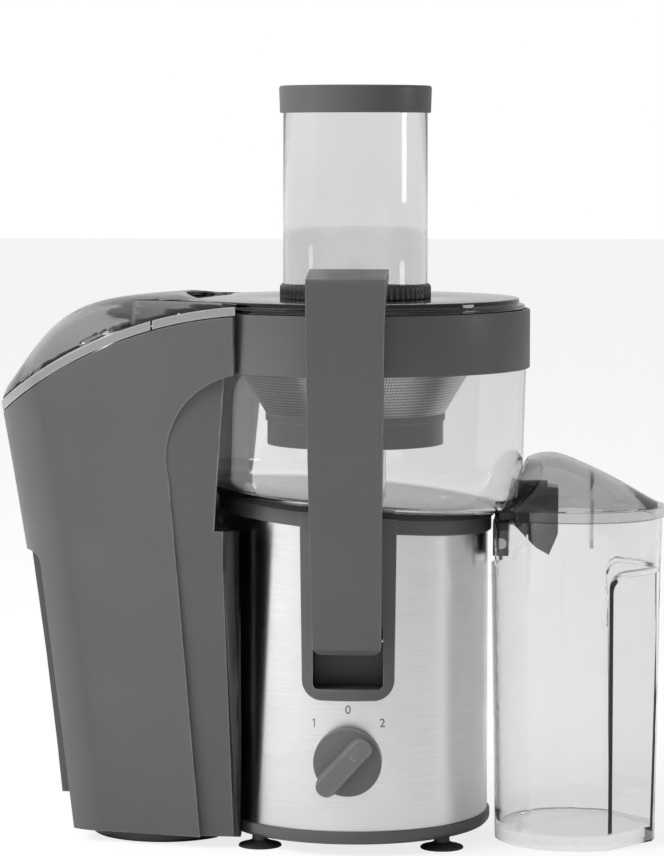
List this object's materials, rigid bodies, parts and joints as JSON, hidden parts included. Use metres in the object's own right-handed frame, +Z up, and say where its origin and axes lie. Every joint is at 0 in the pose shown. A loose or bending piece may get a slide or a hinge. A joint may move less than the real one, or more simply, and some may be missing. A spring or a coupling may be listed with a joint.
{
  "type": "centrifugal juicer",
  "caption": "Upright centrifugal juicer: motor base, filter bowl under a wide feed tube, front locking arm, pulp bin on one side and lidded juice jug on the other.",
  "frame": {"origin": "under the middle of the whole object, on the surface that it stands on", "axes": "+Z up, front with the knob and the locking arm towards -Y, pulp bin at -X, juice jug at +X"},
  "size_m": [0.3662, 0.203, 0.417],
  "materials": {
    "brushed_steel": "hairlines run round the shell",
    "filter_steel": "finely perforated sheet",
    "machined_steel": "ground and polished",
    "laminated_steel": "stacked lamination",
    "copper": "turned copper bars",
    "grey_plastic": "satin grey moulding",
    "dark_plastic": "black moulding",
    "black_rubber": "soft matt rubber",
    "clear_plastic": "clear polycarbonate",
    "smoke_plastic": "smoke grey polycarbonate"
  },
  "bodies": {
    "base": {"steel_shell": "brushed_steel", "base_tray": "grey_plastic", "suction_cups": "black_rubber", "foot_stems": "grey_plastic", "tray_screws": "machined_steel", "deck_ring": "grey_plastic", "motor_deck": "dark_plastic", "upper_bearing": "machined_steel", "shaft_seal": "black_rubber", "bowl_gasket": "black_rubber", "front_trim": "grey_plastic", "pocket_liner": "dark_plastic", "arm_pivot_pin": "machined_steel", "motor_housing_lower": "dark_plastic", "motor_housing_upper": "dark_plastic", "lower_bearing": "machined_steel", "motor_stator": "laminated_steel", "carbon_brushes": "dark_plastic", "rubber_mounts": "black_rubber", "speed_switch": "dark_plastic", "safety_switch": "dark_plastic", "circuit_board": "dark_plastic", "capacitor": "dark_plastic", "cord_inlet": "dark_plastic", "juice_bowl": "clear_plastic", "bowl_collar": "grey_plastic", "juice_spout": "dark_plastic", "spout_bracket": "smoke_plastic", "bracket_screw": "machined_steel"},
    "arm": {"locking_arm": "grey_plastic", "arm_core": "dark_plastic"},
    "knob": {"speed_knob": "grey_plastic", "knob_pointer": "dark_plastic", "knob_shaft": "dark_plastic"},
    "rotor": {"motor_shaft": "machined_steel", "armature": "laminated_steel", "commutator": "copper", "cooling_fan": "dark_plastic", "drive_coupler": "dark_plastic"},
    "basket": {"filter_mesh": "filter_steel", "filter_rim": "dark_plastic", "basket_drum": "dark_plastic", "grater_disc": "machined_steel"},
    "lid": {"lid_plate": "smoke_plastic", "feed_tube": "clear_plastic", "tube_rim": "grey_plastic", "tube_collar": "dark_plastic", "lid_seal": "black_rubber", "pulp_hood": "smoke_plastic", "hood_bridge": "dark_plastic"},
    "bin": {"pulp_bin": "grey_plastic", "bin_rim_outer": "grey_plastic", "bin_rim_inner": "grey_plastic", "bin_foot": "dark_plastic"},
    "jug": {"juice_jug": "clear_plastic"},
    "jug_cover": {"jug_lid": "smoke_plastic", "froth_separator": "smoke_plastic"}
  },
  "joints": [
    {"name": "arm_swing", "type": "hinge", "parent": "base", "child": "arm", "pos_m": [0.01069, -0.06248, 0.118], "axis": [1, 0, 0], "range_deg": [0, 95]},
    {"name": "lid_lift", "type": "slide", "parent": "base", "child": "lid", "axis": [0, 0, 1], "range_m": [0, 0.08]},
    {"name": "bin_out", "type": "slide", "parent": "base", "child": "bin", "axis": [-1, 0, 0], "range_m": [0, 0.085]},
    {"name": "knob_turn", "type": "hinge", "parent": "base", "child": "knob", "pos_m": [0.01069, -0.07548, 0.053], "axis": [0, -1, 0], "range_deg": [0, 86]},
    {"name": "motor_spin", "type": "hinge", "parent": "base", "child": "rotor", "pos_m": [0.01069, 0.00452, 0.1], "axis": [0, 0, 1], "continuous": true},
    {"name": "basket_spin", "type": "hinge", "parent": "base", "child": "basket", "pos_m": [0.01069, 0.00452, 0.25], "axis": [0, 0, 1], "continuous": true},
    {"name": "jug_out", "type": "slide", "parent": "base", "child": "jug", "axis": [1, 0, 0], "range_m": [0, 0.09]},
    {"name": "jug_lid_lift", "type": "slide", "parent": "jug", "child": "jug_cover", "axis": [0, 0, 1], "range_m": [0, 0.012]}
  ],
  "couplings": [
    {"joint": "lid_lift", "follows": "arm_swing", "m_per_rad": 0.0435},
    {"joint": "bin_out", "follows": "arm_swing", "m_per_rad": 0.046},
    {"joint": "basket_spin", "follows": "motor_spin", "ratio": 1}
  ]
}
